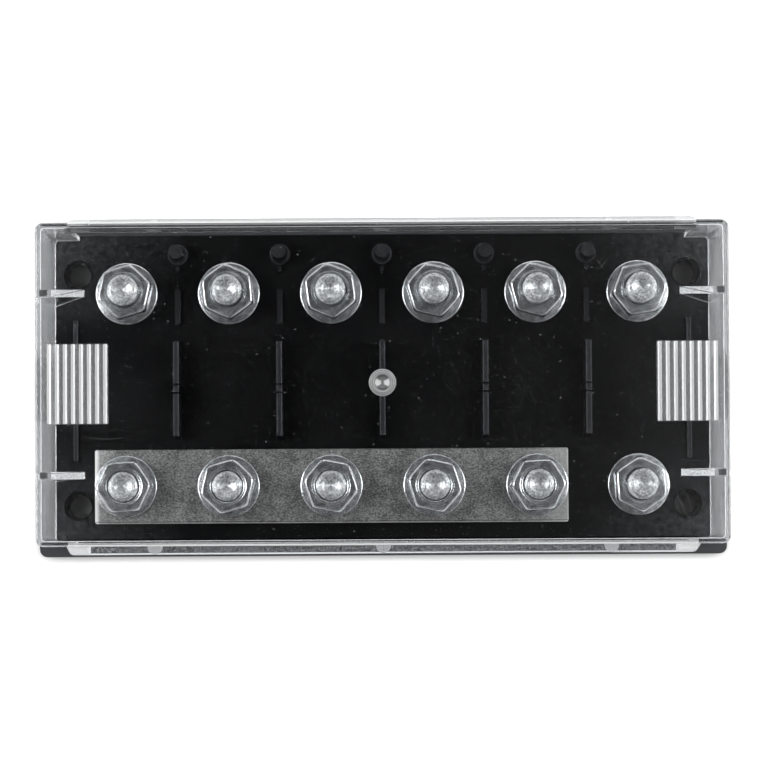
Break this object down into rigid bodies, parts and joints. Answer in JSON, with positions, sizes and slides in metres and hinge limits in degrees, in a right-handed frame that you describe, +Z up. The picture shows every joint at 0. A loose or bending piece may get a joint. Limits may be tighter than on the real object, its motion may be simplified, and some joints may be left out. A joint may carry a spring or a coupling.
{
  "type": "fuse holder",
  "caption": "Bolt-down fuse holder: black moulded base with rows of studs and flange nuts, a flat busbar on the front row and a clear clip-on cover with ribbed grips.",
  "frame": {"origin": "centre of the base's footprint on the surface it stands on", "axes": "+X along the row of poles to the picture's right, +Y across the holder away from the busbar, +Z up out of the base through the cover"},
  "size_m": [0.1826, 0.088, 0.0392],
  "materials": {
    "base_black": "satin black moulded plastic",
    "cover_clear": "clear glossy polycarbonate",
    "busbar_plating": "mottled warm grey metal plating",
    "zinc_plating": "bright zinc-plated steel"
  },
  "bodies": {
    "holder": {"base": "base_black", "busbar": "busbar_plating", "stud_front_1": "zinc_plating", "nut_front_1": "zinc_plating", "stud_front_2": "zinc_plating", "nut_front_2": "zinc_plating", "stud_front_3": "zinc_plating", "nut_front_3": "zinc_plating", "stud_front_4": "zinc_plating", "nut_front_4": "zinc_plating", "stud_front_5": "zinc_plating", "nut_front_5": "zinc_plating", "stud_front_6": "zinc_plating", "nut_front_6": "zinc_plating", "stud_rear_1": "zinc_plating", "nut_rear_1": "zinc_plating", "stud_rear_2": "zinc_plating", "nut_rear_2": "zinc_plating", "stud_rear_3": "zinc_plating", "nut_rear_3": "zinc_plating", "stud_rear_4": "zinc_plating", "nut_rear_4": "zinc_plating", "stud_rear_5": "zinc_plating", "nut_rear_5": "zinc_plating", "stud_rear_6": "zinc_plating", "nut_rear_6": "zinc_plating"},
    "lid": {"cover": "cover_clear"}
  },
  "joints": [
    {"name": "cover_lift", "type": "slide", "parent": "holder", "child": "lid", "axis": [0, 0, 1], "range_m": [0, 0.045]}
  ]
}
